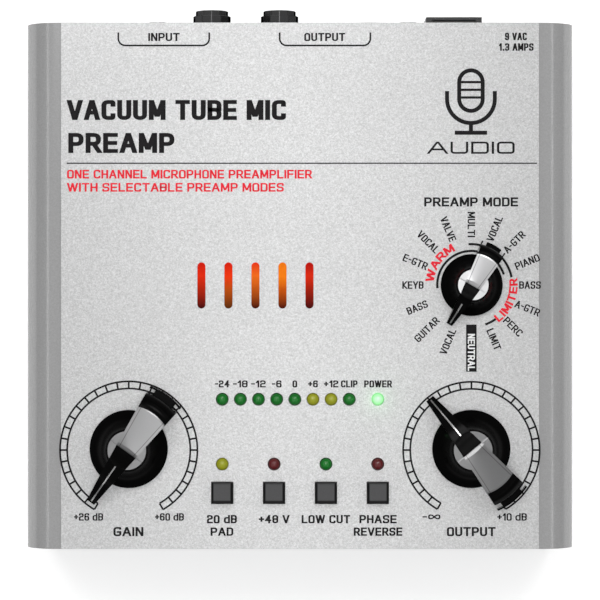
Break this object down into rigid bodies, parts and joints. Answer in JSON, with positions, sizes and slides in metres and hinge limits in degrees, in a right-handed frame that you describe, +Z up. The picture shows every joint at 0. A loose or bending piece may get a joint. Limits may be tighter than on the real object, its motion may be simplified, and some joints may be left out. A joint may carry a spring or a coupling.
{
  "type": "microphone preamplifier",
  "caption": "Desktop tube microphone preamplifier with pointer knobs, push buttons, meter lamps, glow windows and rear connectors.",
  "frame": {"origin": "on the table, under the middle of the whole outline", "axes": "+X to the right, +Y to the rear connectors, +Z up"},
  "size_m": [0.136, 0.135, 0.0574],
  "materials": {
    "cover_paint": "satin",
    "panel_paint": "satin",
    "chassis_paint": "satin",
    "knob_black": "gloss",
    "knob_silver": "satin",
    "pointer_white": "matte",
    "button_grey": "matte",
    "rubber_black": "matte",
    "board_green": "satin",
    "steel": "satin",
    "black_steel": "satin",
    "part_black": "satin",
    "lamp_green": "gloss",
    "lamp_yellow": "gloss",
    "lamp_red": "gloss",
    "lamp_power": "gloss",
    "window_red": "satin",
    "tube_glass": "gloss",
    "ceramic_white": "matte",
    "anode_grey": "matte",
    "gold": "polished",
    "aluminium": "satin",
    "ribbon_grey": "matte",
    "print_black": "satin",
    "print_red": "satin",
    "print_white": "satin"
  },
  "bodies": {
    "case": {"top_cover": "cover_paint", "control_overlay": "panel_paint", "chassis_floor": "chassis_paint", "chassis_front": "chassis_paint", "chassis_rear": "chassis_paint", "cover_screws": "steel", "rubber_feet": "rubber_black", "main_board": "board_green", "board_standoffs": "steel", "board_screws": "steel", "control_board": "board_green", "ribbon_cable": "ribbon_grey", "ribbon_headers": "part_black", "capacitors": "part_black", "regulator_heat_sink": "aluminium", "tube_envelope": "tube_glass", "tube_pins": "steel", "tube_socket": "ceramic_white", "tube_anodes": "anode_grey", "tube_mica_spacers": "ceramic_white", "tube_glow_lamps": "window_red", "glow_windows": "window_red", "green_lamps": "lamp_green", "yellow_lamps": "lamp_yellow", "red_lamps": "lamp_red", "power_lamp": "lamp_power", "potentiometers": "steel", "mode_switch": "part_black", "panel_nuts": "steel", "push_switch_bodies": "part_black", "input_xlr_shell": "steel", "output_xlr_shell": "steel", "input_xlr_insert": "part_black", "xlr_contacts": "gold", "xlr_screws": "steel", "input_jack_body": "part_black", "output_jack_body": "part_black", "jack_nuts": "part_black", "jack_contact_springs": "steel", "power_switch_housing": "part_black", "power_inlet_body": "part_black", "power_inlet_pin": "steel"},
    "gain_knob": {"gain_shaft": "steel", "gain_knob_body": "knob_black", "gain_knob_cap": "knob_silver", "gain_knob_line": "pointer_white"},
    "output_knob": {"output_shaft": "steel", "output_knob_body": "knob_black", "output_knob_cap": "knob_silver", "output_knob_line": "pointer_white"},
    "mode_knob": {"mode_shaft": "steel", "mode_knob_body": "knob_black", "mode_knob_cap": "knob_silver", "mode_knob_line": "pointer_white"},
    "pad_button": {"pad_button": "button_grey"},
    "phantom_button": {"phantom_button": "button_grey"},
    "low_cut_button": {"low_cut_button": "button_grey"},
    "phase_button": {"phase_button": "button_grey"},
    "power_rocker": {"power_rocker": "part_black"},
    "input_xlr_latch": {"input_xlr_latch": "black_steel"}
  },
  "joints": [
    {"name": "gain_turn", "type": "hinge", "parent": "case", "child": "gain_knob", "pos_m": [-0.0422, -0.04265, 0.048], "axis": [0, 0, -1], "range_deg": [-5.6, 294.4]},
    {"name": "output_turn", "type": "hinge", "parent": "case", "child": "output_knob", "pos_m": [0.0422, -0.04265, 0.048], "axis": [0, 0, -1], "range_deg": [-110.4, 189.6]},
    {"name": "mode_turn", "type": "hinge", "parent": "case", "child": "mode_knob", "pos_m": [0.0423, -0.00225, 0.048], "axis": [0, 0, -1], "continuous": true},
    {"name": "pad_press", "type": "slide", "parent": "case", "child": "pad_button", "axis": [0, 0, -1], "range_m": [0, 0.0015], "stiffness_N_per_m": 300, "springref_m": -0.001},
    {"name": "phantom_press", "type": "slide", "parent": "case", "child": "phantom_button", "axis": [0, 0, -1], "range_m": [0, 0.0015], "stiffness_N_per_m": 300, "springref_m": -0.001},
    {"name": "low_cut_press", "type": "slide", "parent": "case", "child": "low_cut_button", "axis": [0, 0, -1], "range_m": [0, 0.0015], "stiffness_N_per_m": 300, "springref_m": -0.001},
    {"name": "phase_press", "type": "slide", "parent": "case", "child": "phase_button", "axis": [0, 0, -1], "range_m": [0, 0.0015], "stiffness_N_per_m": 300, "springref_m": -0.001},
    {"name": "power_switch_rock", "type": "hinge", "parent": "case", "child": "power_rocker", "pos_m": [0.0389, 0.06155, 0.0265], "axis": [0, 0, -1], "range_deg": [0, 16]},
    {"name": "xlr_latch_press", "type": "slide", "parent": "case", "child": "input_xlr_latch", "axis": [0, -1, 0], "range_m": [0, 0.001], "stiffness_N_per_m": 300, "springref_m": -0.001}
  ]
}
